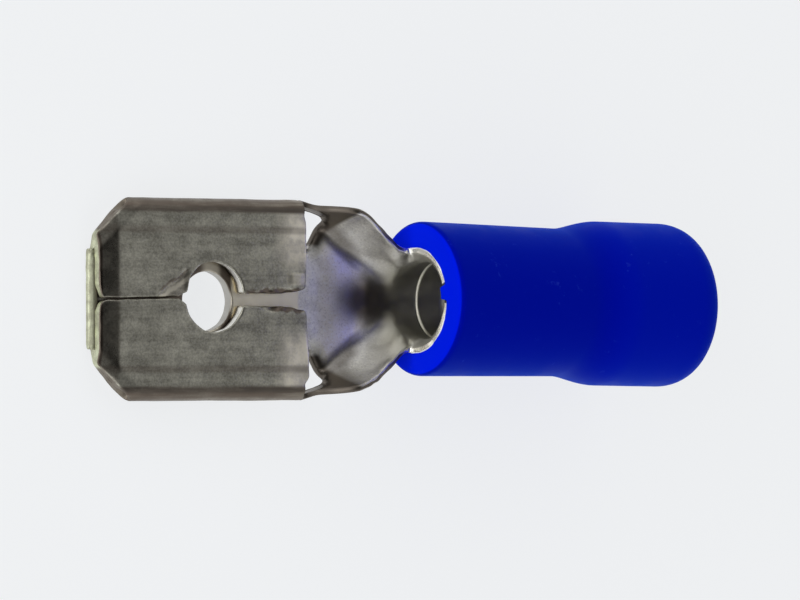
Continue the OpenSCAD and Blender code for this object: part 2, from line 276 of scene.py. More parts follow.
def spline(px, py, x):
    """Cubic through the points that never overshoots, level at both ends."""
    rate = np.diff(py) / np.diff(px)
    a, b = rate[:-1], rate[1:]
    both = np.where(a * b > 0, 2 * a * b / np.where(a * b > 0, a + b, 1), 0)
    slope = np.concatenate([[0], both, [0]])
    x = np.clip(x, px[0], px[-1])
    i = np.clip(np.searchsorted(px, x, side="right") - 1, 0, len(px) - 2)
    run = px[i + 1] - px[i]
    u = (x - px[i]) / run
    return (
        (1 + 2 * u) * (1 - u) ** 2 * py[i]
        + u * u * (3 - 2 * u) * py[i + 1]
        + run * u * (1 - u) ** 2 * slope[i]
        + run * u * u * (u - 1) * slope[i + 1]
    )


def ease(x, low, high):
    """Smooth step from nought at low to one at high."""
    u = np.clip((x - low) / (high - low), 0, 1)
    return u * u * (3 - 2 * u)


def hump(x, s, wide_x, wide_s):
    """Round rise to one in the middle."""
    return np.exp(-((x / wide_x) ** 2) - (s / wide_s) ** 2)


def ripple(x, s, seed, wave):
    """Smooth waves of about unit height, the same on every run."""
    rng = np.random.default_rng(seed)
    total = np.zeros_like(x)
    for _ in range(7):
        turn, phase = rng.uniform(0, 2 * math.pi, 2)
        pitch = 2 * math.pi / (wave * rng.uniform(0.7, 1.5))
        total += np.sin(pitch * (x * math.cos(turn) + s * math.sin(turn)) + phase)
    return total / math.sqrt(3.5)


def rounded(path):
    """The points of a path of (x, s, corner cut), with its corners rounded."""
    made = []
    for i, (x, s, cut) in enumerate(path):
        here = np.array((x, s))
        if not cut:
            made.append(here)
            continue
        to_last = np.array(path[i - 1][:2]) - here
        to_next = np.array(path[i + 1][:2]) - here
        near = min(cut, 0.45 * np.hypot(*to_last), 0.45 * np.hypot(*to_next))
        first = here + to_last / np.hypot(*to_last) * near
        last = here + to_next / np.hypot(*to_next) * near
        for u in np.linspace(0, 1, 7):
            made.append((1 - u) ** 2 * first + 2 * u * (1 - u) * here + u * u * last)
    return np.array(made)


def stepped(points, step):
    """A closed path cut into steps of about the length that step gives at x."""
    made = []
    for a, b in zip(points, np.roll(points, -1, axis=0)):
        n = max(1, round(np.hypot(*(b - a)) / step((a[0] + b[0]) / 2)))
        made += [a + (b - a) * k / n for k in range(n)]
    made = np.array(made)
    far = np.hypot(*(made - np.roll(made, 1, axis=0)).T) > LEAST_STEP
    return made[far]


def outward(loop):
    """Unit normals along a closed path."""
    along = np.roll(loop, -1, axis=0) - np.roll(loop, 1, axis=0)
    return np.stack([along[:, 1], -along[:, 0]], 1) / np.hypot(*along.T)[:, None]


def crossed(rows, levels):
    """Points at every x of rows and every s of levels."""
    return np.stack(np.meshgrid(rows, levels), 2).reshape(-1, 2)


def mirrored(levels):
    """Levels from nought upwards, on both sides."""
    return np.concatenate([-levels[:0:-1], levels])


def gap_to(points, loops):
    """Distance from each point to the nearest cut edge."""
    best = np.full(len(points), np.inf)
    for loop in loops:
        a, b = loop, np.roll(loop, -1, axis=0)
        run = b - a
        size = np.maximum((run**2).sum(1), 1e-12)
        for at in range(0, len(points), BATCH):
            p = points[at : at + BATCH, None, :]
            u = np.clip(((p - a) * run).sum(2) / size, 0, 1)
            d = np.hypot(*np.moveaxis(p - a - u[:, :, None] * run, 2, 0)).min(1)
            best[at : at + BATCH] = np.minimum(best[at : at + BATCH], d)
    return best


def inside(points, loops):
    """Whether each point lies on the blank, which is within an odd number of loops."""
    odd = np.zeros(len(points), bool)
    for loop in loops:
        (ax, ay), (bx, by) = loop.T, np.roll(loop, -1, axis=0).T
        rise = np.where(by == ay, 1, by - ay)
        for at in range(0, len(points), BATCH):
            x, y = points[at : at + BATCH, 0, None], points[at : at + BATCH, 1, None]
            crosses = ((ay > y) != (by > y)) & (x < ax + (y - ay) * (bx - ax) / rise)
            odd[at : at + BATCH] ^= crosses.sum(1) % 2 == 1
    return odd


class Blank:
    """The metal blank: its outline when flat, and where its points go when it is formed."""

    def __init__(self, sizes):
        z = self.z = sizes
        low, high = (np.array(v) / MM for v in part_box("terminal"))
        z.tip_x = low[0] + z.stub_len
        z.end_x = high[0]
        z.half_w = high[1]
        z.barrel_r = -low[2]
        z.mid_r = z.barrel_r - z.sheet_t / 2
        z.floor_z = -z.mid_r
        z.tab_t = 2 * z.sheet_t + z.hem_gap
        z.fold_y = z.half_w - z.tab_t / 2
        z.fold_r = (z.tab_t - z.sheet_t) / 2
        z.fold_end = z.fold_y + math.pi * z.fold_r
        z.flap_end_x = z.tip_x + z.tab_len
        z.rim_x = z.flap_end_x + z.neck_len
        z.hole_x = z.tip_x + z.hole_pos
        z.notch_x = z.hole_x - z.flap_hole_d / 2
        z.hem_z = z.floor_z + z.fold_r
        z.tip_rake = z.tip_cut_len / z.tip_cut
        bend = (z.fold_r + z.crest_bend) / 2
        shoulder = self.wing_station(z.shoulder_pos, bend, z.shoulder_w, z.shoulder_h, z.wing_bow / 2)
        crest = self.wing_station(z.crest_pos, z.crest_bend, z.crest_w, z.crest_h, z.wing_bow)
        rim = [z.neck_len, LEAST, *self.arc_station(0, z.mid_r, z.trough_turn)]
        throat = [a + z.throat_share * (b - a) for a, b in zip(crest, rim)]
        tab = [0, z.fold_y, *self.arc_station(z.fold_y, z.fold_r, z.fold_turn)]
        self.stations = np.array([tab, shoulder, crest, throat, rim])
        z.corner_s = self.out_s(z.flap_end_x + z.window_len - z.window_r, z.window_corner)

    def crease(self, back):
        """Half the width of the neck's floor, which narrows towards the barrel."""
        return self.z.fold_y * (1 - back / self.z.neck_len)

    def wing_station(self, back, bend, wide, high, bow):
        """Where the neck stands up in wings: place, floor, bend, edge across and up, sheet and bow."""
        return [back, self.crease(back), bend, wide / 2, high, self.z.wing_edge_t, bow]

    def arc_station(self, start, r, turn):
        """Where the sheet ends on its bend: bend, edge across and up, sheet and bow."""
        return [r, start + r * math.sin(turn), r * (1 - math.cos(turn)), self.z.sheet_t, 0]

    def section(self, x):
        """The bent section at x, mid sheet: floor, bend, turn, wing, its chord and the sheet at its edge."""
        z = self.z
        back = x - z.flap_end_x
        half, r, y, up, edge_t, bow = (spline(self.stations[:, 0], c, back) for c in self.stations.T[1:])
        wing = np.sqrt(np.maximum((y - half) ** 2 + (up - r) ** 2 - r * r, LEAST**2))
        turn = np.arctan2(up - r, y - half) + np.arctan2(r, wing) - bow
        run_y, run_up = y - half - r * np.sin(turn), up - r * (1 - np.cos(turn))
        wing = np.maximum(np.hypot(run_y, run_up), LEAST)
        chord = turn + np.clip(np.arctan2(run_up, run_y) - turn, 0, bow)
        tab, barrel = back <= NEAR, back >= z.neck_len - NEAR
        return SimpleNamespace(
            half=half,
            r=r,
            turn=np.where(tab | barrel, math.pi, turn),
            wing=np.where(tab, z.fold_y, wing),
            chord=np.where(tab | barrel, math.pi, chord),
            edge_t=np.where(tab | barrel, z.sheet_t, edge_t),
        )

    def edge(self, x):
        """Where the edge of the neck lies on the blank at x."""
        c = self.section(np.clip(x, self.z.flap_end_x + 2 * NEAR, self.z.rim_x - 2 * NEAR))
        return c.half + c.r * c.turn + c.wing

    def own_x(self, x, s):
        """The x of the section a point belongs to: flap ends and rim keep theirs where they stand out."""
        z = self.z
        past = np.abs(s) > self.edge(x) + 0.25
        x = np.where(past & (np.abs(x - z.flap_end_x) < 0.2), np.minimum(x, z.flap_end_x), x)
        return np.where(past & (np.abs(x - z.rim_x) < 0.2), np.maximum(x, z.rim_x), x)

    def place(self, x, s):
        """Across, up and heading of mid sheet at the blank's points, on the +Y side."""
        c = self.section(self.own_x(x, s))
        a = np.abs(s)
        bent = np.clip((a - c.half) / c.r, 0, c.turn)
        u = np.maximum(a - c.half - c.r * c.turn, 0) / c.wing
        bow, on_wing = c.chord - c.turn, np.minimum(u, 1)
        out = c.wing * bow * on_wing * (1 - on_wing)
        heading = bent + 2 * bow * on_wing
        run = u * c.wing
        across = np.minimum(a, c.half) + c.r * np.sin(bent) + run * np.cos(c.chord) + out * np.sin(c.chord)
        up = c.r * (1 - np.cos(bent)) + run * np.sin(c.chord) - out * np.cos(c.chord)
        return across, up, heading

    def sheet(self, x, s):
        """Thickness of the sheet at the blank's points."""
        z = self.z
        c = self.section(self.own_x(x, s))
        share = np.clip(np.abs(s) / self.edge(x), 0, 1) ** 2
        return z.sheet_t + (c.edge_t - z.sheet_t) * share

    def out_s(self, x, y):
        """Where on the blank the outside of the sheet is y from the middle, at x."""
        x = np.full(400, x)
        s = np.linspace(0, float(self.edge(x[0])), 400)
        across, _, heading = self.place(x, s)
        out = across + self.sheet(x, s) / 2 * np.sin(heading)
        return float(np.interp(y, np.maximum.accumulate(out), s))

    def window_side(self, x):
        """How far out the outer side of a window lies at x, and nought where there is none."""
        z = self.z
        back = x - z.flap_end_x
        outer = z.half_w - z.window_strip
        line = outer + (z.window_corner - outer) * back / (z.window_len - z.window_r)
        gone = 1 - ease(back, z.window_len - z.window_r, z.window_len + z.window_r)
        return line * gone * ease(back, -0.2, 0)

    def from_corner(self, x, y):
        """How far behind the cut corner of the tip a place in plan lies."""
        z = self.z
        return (x - z.tip_x - (np.abs(y) - z.half_w + z.tip_cut) * z.tip_rake) / math.hypot(1, z.tip_rake)

    def edge_rounding(self, x, s, across, inner):
        """Radius of the cut edges: soft at the windows, rolled along the front seam, sharp at the tip."""
        z = self.z
        back = x - z.flap_end_x
        r = z.edge_round * (1 + 0.2 * ripple(x, s, 3, 0.5))
        if inner:
            from_tip = np.minimum(x - z.tip_x, self.from_corner(x, across))
            r = r * (1 - 0.75 * ease(from_tip, 0.3, 0.1))
        soft = ease(back, 0.2, 0.5) * ease(back, 1.7, 1.3) * (np.abs(s) > z.bridge_w / 2 - 0.3)
        r = r + soft * (0.42 * self.sheet(x, s) - r)
        if inner:
            seam = ease(np.abs(s), self.flap_s(0.4), self.flap_s(0.25))
            r = r + seam * ease(x, z.hole_x - 1.1, z.hole_x - 1.4) * (z.seam_roll - r)
        return r

    def cut_away(self, x, s):
        """How much is gone from the inside: the stub's break, the rim's bevel and the grip grooves."""
        z = self.z
        rim, edge = x - z.rim_x, self.edge(x)
        free = ease(np.abs(s), edge - 0.5, edge + 0.15) * ease(rim, -1.2, 0)
        cut = z.stub_break * np.clip((z.tip_x - x) / z.stub_len, 0, 1)
        cut = cut + free * z.rim_bevel * np.clip(1 - rim / (2 * z.rim_bevel), 0, 1)
        for k in range(GROOVES):
            from_groove = np.abs(rim - z.groove_start - k * z.groove_pitch)
            cut = cut + z.groove_depth * np.clip(1 - from_groove / (z.groove_w / 2), 0, 1)
        return cut

    def raised(self, back, y):
        """How far the neck's floor rises towards the barrel."""
        climb = (np.clip((back - 0.7) / 1.8, 0, 1) + ease(back, 0.7, 2.5)) / 2
        half = np.maximum(self.crease(back), 0.5)
        return self.z.floor_rise * climb * ease(back, 3.5, 2.5) * ease(np.abs(y), half + 0.4, 0.2 * half)

    def coined(self, x, y, h, inner):
        """Share of the tab's height that the lead-in and the pinched corners leave."""
        z = self.z
        lead = 1 - (x - z.tip_x) / z.lead_len
        bent = np.clip((lead + LEAD_SOFT) / (2 * LEAD_SOFT), 0, 1)
        drop = np.clip(np.where(bent < 1, LEAD_SOFT * bent**2, lead), 0, 1) * z.lead_drop
        corner = self.from_corner(x, y)
        drop = drop + np.clip(1 - corner / z.corner_len, 0, 1) * z.corner_drop
        share = 1 - drop / (z.tab_t / 2)
        if inner:
            share = share * (1 - 0.8 * ease(corner, 0.5, 0.2) * (np.abs(h - z.fold_r) < 0.12))
        return share

    def formed(self, x, s, gap, window_gap, side):
        """Places in space of the blank's points, on the outside (-1) or the inside (1) of the sheet."""
        z = self.z
        inner = side > 0
        a, edge = np.abs(s), self.edge(x)
        back, rim = x - z.flap_end_x, x - z.rim_x
        across, up, heading = self.place(x, s)
        r = self.edge_rounding(x, s, across, inner)
        near = 1 - np.clip(gap / r, 0, 1)
        lift = self.sheet(x, s) / 2 - r * (1 - np.sqrt(1 - near**2))
        if inner:
            lift = lift - self.cut_away(x, s)
        wave = z.sheet_wave * (ripple(x, s, 1, 2.5) + 0.375 * ripple(x, s, 2, 0.7))
        roll = z.window_roll * np.clip(1 - window_gap / 0.5, 0, 1) ** 2 * ease(back, 0.1, 0.5)
        flare = z.rim_flare * ease(a, edge - 0.3, edge + 0.2) * ease(rim, 0.14, 0) * ease(rim, -0.8, 0)
        lift = side * lift + wave * ease(gap, 0, 0.3) - roll - flare
        y = across - lift * np.sin(heading)
        h = up + lift * np.cos(heading)
        if inner:
            strip = ease(a, z.corner_s - 0.2, z.corner_s) * (back > -0.25) * (a < edge + 0.05)
            y = y + strip * np.maximum(self.window_side(x) - y, 0)
        y = np.sign(s) * y
        y = y - z.low_flare * (s < 0) * ease(back, 1.6, 2.5) * ease(back, z.neck_len, 3.0) * np.clip(up, 0, 1)
        h = h + self.dents(x, y) * ease(a, z.fold_end - 0.2, z.fold_end + 0.3) * (back < 0.2)
        h = h + self.raised(back, y)
        h = z.fold_r + (h - z.fold_r) * self.coined(x, y, h, inner)
        return np.stack([x, y, h + z.floor_z], 1) * MM

    def dents(self, x, y):
        """Marks that the folding tools leave in the flaps: height over the flat flap at a place in plan."""
        z = self.z
        before, end = x - z.notch_x, x - z.flap_end_x
        line = y - z.press_off - z.press_slope * before + 0.04 * ripple(x, y, 9, 0.5)
        press = ease(line, 0, -0.12) * ease(y, -0.02, 0.1)
        press = press * ease(before, -1.3, -0.6) * ease(before, 0.2, -0.05)
        dent = hump(before, y - 0.1, 0.25, 0.2)
        droop = ease(end, -1.1, 0) ** 2 * ease(np.abs(y), 1.0, 2.4)
        pad = ease(0.4 - np.abs(end + 0.38), 0, 0.3) * ease(0.22 - np.abs(y - 0.65), 0, 0.08)
        chips = ease(end, -1.9, -1.3) * ease(0.42 - np.abs(y), 0, 0.26) * (1 + 0.5 * ripple(x, y, 8, 0.6))
        sunk = z.press_depth * press + z.notch_dent * dent + z.flap_droop * droop + z.chip_depth * chips
        return z.pad_h * pad + z.flap_crown * ease(np.abs(y), 1.8, 0) - sunk

    def flap_s(self, y):
        """Where on the blank a flap's point lies that is y from the middle when folded."""
        return self.z.fold_end + self.z.fold_y - y

    def hole_edge(self, turn, shift):
        """A point of a flap's hole, which is pushed in beside the notch on the upper flap."""
        z = self.z
        push = z.lip_push * math.exp(-(((turn - 3.05) / 0.35) ** 2)) if shift > 0 else 0
        r = z.flap_hole_d / 2 - push
        return z.hole_x + r * math.cos(turn), shift + r * math.sin(turn)

    def half_outline(self, seam_end, shift):
        """One side of the outline, from the tip round to the back end: x, s and corner cut."""
        z = self.z
        upper = shift > 0
        inner = z.half_w - z.tip_cut
        outer_r = z.fold_r + z.sheet_t / 2
        path = [
            (z.tip_x - z.stub_len, z.stub_w / 2, 0.05),
            (z.tip_x, z.stub_w / 2, 0.05),
            (z.tip_x, inner, 0.1),
            (z.tip_x + (z.fold_y - inner) * z.tip_rake, z.fold_y, 0),
        ]
        for t in np.linspace(0, math.pi, 25)[1:]:
            along = (z.fold_y + outer_r * math.sin(t) - inner) * z.tip_rake
            path.append((z.tip_x + along, z.fold_y + z.fold_r * t, 0))
        path.append((z.tip_x, self.flap_s(inner), 0.1))
        curl_len, curl_w = UPPER_CURL if upper else LOWER_CURL
        for t in np.linspace(0, math.pi / 2, 9):
            y = z.seam_front / 2 + curl_w * (1 - math.sin(t))
            path.append((z.tip_x + curl_len * (1 - math.cos(t)), self.flap_s(y), 0))
        slant = math.copysign(z.seam_slant, shift)
        front = z.notch_x - z.notch_len
        path.append((front + 0.02, self.flap_s(z.seam_front / 2 + slant), 0.05))
        slope = z.notch_w / (2 * z.notch_len) * (0.65 if upper else 1)

        def past_notch(t):
            x, y = self.hole_edge(t, shift)
            return y - slant >= slope * (x - front)

        meet = next(t for t in np.linspace(math.pi, 0, 400) if past_notch(t))
        leave = math.asin((z.seam_back / 2 - shift) / (z.flap_hole_d / 2))
        for i, t in enumerate(np.linspace(meet, leave, 50)):
            x, y = self.hole_edge(t, shift)
            path.append((x, self.flap_s(y), 0.04 if i in (0, 49) else 0))
        slanted_x = z.flap_end_x + z.flap_slant * (0.45 if upper else 1)
        path += [
            (z.flap_end_x - z.mouth_len, self.flap_s(z.seam_back / 2), 0.3),
            (z.flap_end_x, self.flap_s(z.seam_mouth / 2), 0.12),
            (slanted_x, self.flap_s(z.fold_y - 0.85), 0.3),
            (slanted_x, self.flap_s(z.fold_y - 0.3), 0.1),
            (z.flap_end_x, self.flap_s(z.fold_y - 0.1), 0.05),
            (z.flap_end_x, float(self.edge(z.flap_end_x)), 0.08),
        ]
        for x in np.linspace(z.flap_end_x + 0.1, z.rim_x - 0.5, 50):
            path.append((x, float(self.edge(x)), 0))
        path.append((z.rim_x, float(self.edge(z.rim_x)), 0.4))
        return path + [(z.rim_x, seam_end, 0.06), (z.end_x, seam_end, 0.1)]

    def outline(self):
        """The whole outline of the blank, with the barrel's seam turned to one side."""
        z = self.z
        half_gap = math.asin(z.barrel_seam / 2 / z.mid_r)
        near_end = z.mid_r * (math.pi - z.seam_turn - half_gap)
        far_end = z.mid_r * (math.pi + z.seam_turn - half_gap)
        one = self.half_outline(near_end, z.flap_shift)
        other = [(x, -s, cut) for x, s, cut in reversed(self.half_outline(far_end, -z.flap_shift))]
        start = (z.tip_x - z.stub_len, 0, 0)
        return rounded([start, *one, (z.end_x, 0, 0), *other, start])

    def window(self, sign):
        """A relief window on the blank, from its outline in plan."""
        z = self.z
        inner, outer = z.bridge_w / 2, z.half_w - z.window_strip
        plan = rounded(
            [
                (-0.02, (inner + outer) / 2, 0),
                (-0.02, inner, 0.08),
                (z.window_len / 2, inner, 0.25),
                (z.window_len, z.window_corner - z.window_r, z.window_r),
                (z.window_len - z.window_r, z.window_corner, z.window_r),
                (-0.02, outer, 0.08),
                (-0.02, (inner + outer) / 2 + 0.02, 0),
            ]
        )
        plan = stepped(plan, lambda x: 0.05) + (z.flap_end_x, 0)
        return np.array([(x, sign * self.out_s(x, y)) for x, y in plan])

    def loops(self):
        """The cut edges of the blank: its outline, the hole and the two windows, slightly rough."""
        z = self.z
        turn = np.linspace(0, 2 * math.pi, 110, endpoint=False)
        hole_r = z.hole_d / 2
        hole = np.stack([z.hole_x + hole_r * np.cos(turn), hole_r * np.sin(turn) - z.flap_shift / 2], 1)
        outline = stepped(self.outline(), lambda x: 0.06 if x < z.rim_x + 1.2 else 0.2)
        made = []
        for loop in (outline, hole, self.window(1), self.window(-1)):
            x, s = loop.T
            rough = z.cut_rough * ripple(x, s, 5, 0.5) * (x < z.flap_end_x + 0.2)
            on_rim = (np.abs(x - z.rim_x) < 0.2) & (np.abs(s) > self.edge(z.rim_x))
            rough = np.where(on_rim, z.rim_burr * ripple(x, s, 6, 0.7), rough)
            made.append(loop + outward(loop) * rough[:, None])
        return made

    def tab_points(self):
        """Points on the tab, closer together at the folds, the lead-in, the notch and the seam's end."""
        z = self.z
        levels = np.concatenate(
            [
                np.linspace(0, z.fold_y, 24),
                z.fold_y + z.fold_r * np.linspace(0, math.pi, 21)[1:],
                z.fold_end + np.linspace(0, z.fold_y, 26)[1:],
            ]
        )
        lead = z.tip_x + z.lead_len
        rows = np.concatenate(
            [
                z.tip_x + np.array([-0.02, 0.015]),
                np.arange(z.tip_x + 0.1, lead - 0.06, 0.12),
                lead + np.array([-0.035, 0, 0.035]),
                np.arange(lead + 0.12, z.flap_end_x + 0.05, 0.12),
            ]
        )
        tab = crossed(rows, mirrored(levels))
        for low, high, wide in (
            (z.notch_x - 1.0, z.notch_x + 0.5, 0.9),
            (z.flap_end_x - 2.0, z.flap_end_x, 1.0),
        ):
            close = self.flap_s(np.arange(0.05, wide, 0.05))
            fine = crossed(np.arange(low, high, 0.05), np.concatenate([-close, close]))
            near = (tab[:, 0] > low - 0.03) & (tab[:, 0] < high) & (np.abs(tab[:, 1]) > self.flap_s(wide))
            tab = np.concatenate([tab[~near], fine])
        return tab

    def neck_points(self):
        """Points on the neck, closer together in the bends."""
        z = self.z
        made = []
        for x in np.linspace(z.flap_end_x + 0.08, z.rim_x, 54):
            c = self.section(np.array([min(x, z.rim_x - 2 * NEAR)]))
            half, r, turn, wing = (float(v[0]) for v in (c.half, c.r, c.turn, c.wing))
            s = np.concatenate(
                [
                    np.linspace(0, half, max(3, round(half / 0.11)) + 1),
                    half + r * turn * np.linspace(0, 1, 22)[1:],
                    half + r * turn + wing * np.linspace(0, 1, max(2, round(wing / 0.09)) + 1)[1:],
                ]
            )
            made.append(crossed([x], mirrored(s)))
        return np.concatenate(made)

    def barrel_points(self):
        """Rings of points on the barrel, closer together at the rim and the grooves."""
        z = self.z
        groove = z.rim_x + z.groove_start
        v = z.groove_w / 2
        rows = [
            z.rim_x + np.array([0.07, 0.14, 0.24, 0.36, 0.48, 0.6]),
            groove + np.array([-v - 0.03, -v, -v / 2, 0, v / 2, v, v + 0.03]),
            np.arange(groove + 0.25, groove + 0.95, 0.12),
        ]
        for k in range(1, GROOVES):
            rows.append(groove + k * z.groove_pitch + np.array([-0.5, -v, 0, v, 0.4]))
        return crossed(np.concatenate(rows), z.mid_r * np.radians(np.arange(-180, 181, 5)))

    def flat_mesh(self, loops):
        """The flat blank cut into triangles: its points and faces."""
        z = self.z
        points = list(loops)
        for share in (0.3, 1.0, 2.2):
            for loop in loops:
                for sign in (1, -1):
                    moved = loop + sign * outward(loop) * z.edge_round * share
                    good = inside(moved, loops) & (gap_to(moved, loops) > 0.85 * share * z.edge_round)
                    points.append(moved[good])
        grid = np.concatenate([self.tab_points(), self.neck_points(), self.barrel_points()])
        grid = grid[inside(grid, loops)]
        points.append(grid[gap_to(grid, loops) > 2.9 * z.edge_round])
        edges, at = [], 0
        for loop in loops:
            n = len(loop)
            edges += [(at + k, at + (k + 1) % n) for k in range(n)]
            at += n
        flat, _, faces, *_ = delaunay_2d_cdt([Vector(p) for p in np.concatenate(points)], edges, [], 0, 1e-6)
        flat = np.array([tuple(p) for p in flat])
        faces = np.array(faces)
        a, b, c = (flat[faces[:, k]] for k in range(3))
        twice = (b[:, 0] - a[:, 0]) * (c[:, 1] - a[:, 1]) - (b[:, 1] - a[:, 1]) * (c[:, 0] - a[:, 0])
        faces = np.where((twice < 0)[:, None], faces[:, ::-1], faces)
        return flat, faces[inside((a + b + c) / 3, loops) & (np.abs(twice) > 1e-9)]

    def mesh(self, name):
        """The formed blank as one closed mesh: outside, inside and the sheared edges between them."""
        z = self.z
        loops = self.loops()
        flat, faces = self.flat_mesh(loops)
        x, s = flat.T
        gap, window_gap = gap_to(flat, loops), gap_to(flat, loops[2:])
        outer = self.formed(x, s, gap, window_gap, -1)
        inner = self.formed(x, s, gap, window_gap, 1)
        n = len(flat)
        sides = {}
        for f in faces:
            for p, q in ((f[0], f[1]), (f[1], f[2]), (f[2], f[0])):
                if (q, p) in sides:
                    del sides[(q, p)]
                else:
                    sides[(p, q)] = True
        rim = sorted({p for side in sides for p in side})
        order = {p: k for k, p in enumerate(rim)}
        m = len(rim)
        step = EDGE_STEP * (inner[rim] - outer[rim])
        verts = np.concatenate([outer, inner, outer[rim] + step, inner[rim] - step])
        made = [tuple(f[::-1]) for f in faces] + [tuple(f + n) for f in faces]
        on_base = np.abs(s[faces]).max(1) < z.fold_y
        bare_tip = on_base & (x[faces].mean(1) < z.tip_x + 0.1)
        for p, q in sides:
            i, j = 2 * n + order[p], 2 * n + order[q]
            made += [(p, q, j, i), (i, j, j + m, i + m), (i + m, j + m, q + n, p + n)]
        bare = np.ones(len(made), np.int32)
        bare[: 2 * len(faces)] = np.concatenate([np.zeros(len(faces), bool), bare_tip])
        return smooth_mesh(name, verts, [tuple(int(k) for k in f) for f in made], bare)


def smooth_mesh(name, verts, faces, materials):
    """A smooth mesh with a material index for each face."""
    mesh = bpy.data.meshes.new(name)
    mesh.from_pydata([tuple(v) for v in verts], [], faces)
    mesh.polygons.foreach_set("use_smooth", np.ones(len(faces), bool))
    mesh.polygons.foreach_set("material_index", materials)
    mesh.validate()
    mesh.update()
    return mesh


def sleeve_mesh(name, z, seam_turn, seam_half):
    """The sleeve, turned from its section, with its soft front pressed into the barrel's seam."""
    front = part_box("sleeve")[0].x / MM
    waist, back, grip, entry = z.waist_d / 2, z.back_d / 2, z.grip_d / 2, z.entry_d / 2
    step_end = -z.entry_len - z.step_len
    face_r = (grip + z.front_d / 2) / 2
    path = [(front, face_r, 0), (front, z.front_d / 2, z.front_round), (step_end, waist, 0.3)]
    for u in np.linspace(0, 1, 14)[1:]:
        path.append((step_end + z.step_len * u, waist + (back - waist) * float(ease(u, 0, 1)), 0))
    drop = 0.7 * (back - entry)
    for t in np.linspace(0, math.pi / 2, 12):
        path.append((z.back_round * (math.sin(t) - 1), back - drop * (1 - math.cos(t)), 0))
    path += [(0, entry, z.bore_round), (-z.entry_len, entry, 0.1)]
    path += [(step_end, grip, 0.3), (front, grip, z.bore_round), (front, face_r - 0.02, 0)]
    section = stepped(rounded(path), lambda x: 0.12)
    close = seam_turn + np.linspace(-1.2, 1.2, 33) * seam_half
    wide = np.linspace(close[-1], close[0] + 2 * math.pi, 170)
    turn = np.concatenate([close, wide[1:-1]])
    x, r = (np.repeat(v[:, None], len(turn), 1) for v in section.T)
    away = np.angle(np.exp(1j * (turn - seam_turn))) / seam_half
    push = np.clip(2.5 * (1 - away**2), 0, 1) * ease(r, 2.0, grip) * np.exp(-(((x - front) / 0.4) ** 2))
    r = r - z.seam_push * push
    askew = math.tan(z.skew) * (x - 0.7 * front) * ease(r, 1.65, 2.1)
    x = x - z.cut_lean * ease(x, front + 1.5, front) * ease(np.cos(turn), -1, 1)
    verts = np.stack([x - 0.05 * push, r * np.sin(turn) - askew, r * np.cos(turn)], 2).reshape(-1, 3) * MM
    p, t = (v.ravel() for v in np.meshgrid(np.arange(len(section)), np.arange(len(turn)), indexing="ij"))
    p_next, t_next = (p + 1) % len(section), (t + 1) % len(turn)
    corners = ((p, t), (p_next, t), (p_next, t_next), (p, t_next))
    quads = np.stack([a * len(turn) + b for a, b in corners], 1)
    return smooth_mesh(name, verts, quads.tolist(), np.zeros(len(quads), np.int32))


# Materials


class Nodes:
    """Adds nodes to a tree, with their inputs set or linked."""

    def __init__(self, tree):
        self.tree = tree
        tree.nodes.clear()

    def add(self, kind, inputs=(), **settings):
        node = self.tree.nodes.new(kind)
        for key, value in settings.items():
            setattr(node, key, value)
        for key, value in dict(inputs).items():
            if isinstance(value, bpy.types.NodeSocket):
                self.tree.links.new(value, node.inputs[key])
            else:
                node.inputs[key].default_value = value
        return node

    def split(self, vector):
        return self.add("ShaderNodeSeparateXYZ", {0: vector}).outputs

    def math(self, operation, *values, clamp=False):
        inputs = dict(enumerate(values))
        return self.add("ShaderNodeMath", inputs, operation=operation, use_clamp=clamp).outputs[0]

    def chain(self, operation, made, *others):
        for other in others:
            made = self.math(operation, made, other)
        return made

    def times(self, *values):
        return self.chain("MULTIPLY", *values)

    def plus(self, *values):
        return self.chain("ADD", *values)

    def most(self, *values):
        return self.chain("MAXIMUM", *values)

    def less(self, value, taken):
        return self.math("SUBTRACT", value, taken)

    def ramp(self, value, low, high, to_low=0.0, to_high=1.0):
        """Smooth step of a value from low to high."""
        inputs = {"Value": value, "From Min": low, "From Max": high, "To Min": to_low, "To Max": to_high}
        return self.add("ShaderNodeMapRange", inputs, interpolation_type="SMOOTHSTEP").outputs[0]

    def band(self, value, rise, full, hold, end):
        """One between full and hold, falling to nought at rise and end."""
        return self.times(self.ramp(value, rise, full), self.ramp(value, end, hold))

    def mix(self, share, a, b):
        return self.add("ShaderNodeMix", {0: share, 6: a, 7: b}, data_type="RGBA").outputs[2]

    def layers(self, under, *coats):
        """A colour with others laid over it, each by its share."""
        tone = rgba(under)
        for share, coat in coats:
            tone = self.mix(share, tone, rgba(coat))
        return tone

    def noise(self, vector, scale, detail=3.0, rough=0.5):
        inputs = {"Vector": vector, "Scale": scale, "Detail": detail, "Roughness": rough}
        return self.add("ShaderNodeTexNoise", inputs).outputs["Fac"]

    def stretched(self, vector, x, y, z):
        return self.add("ShaderNodeMapping", {"Vector": vector, "Scale": (x, y, z)}).outputs[0]

    def away(self, place, x, along=1.0, across=1.0):
        """Distance in plan from the middle line at x, with its two directions weighed."""
        inputs = {0: self.stretched(place, along, across, 0.0), 1: (along * x, 0.0, 0.0)}
        return self.add("ShaderNodeVectorMath", inputs, operation="DISTANCE").outputs["Value"]


def rgba(value):
    return (*value, 1.0)


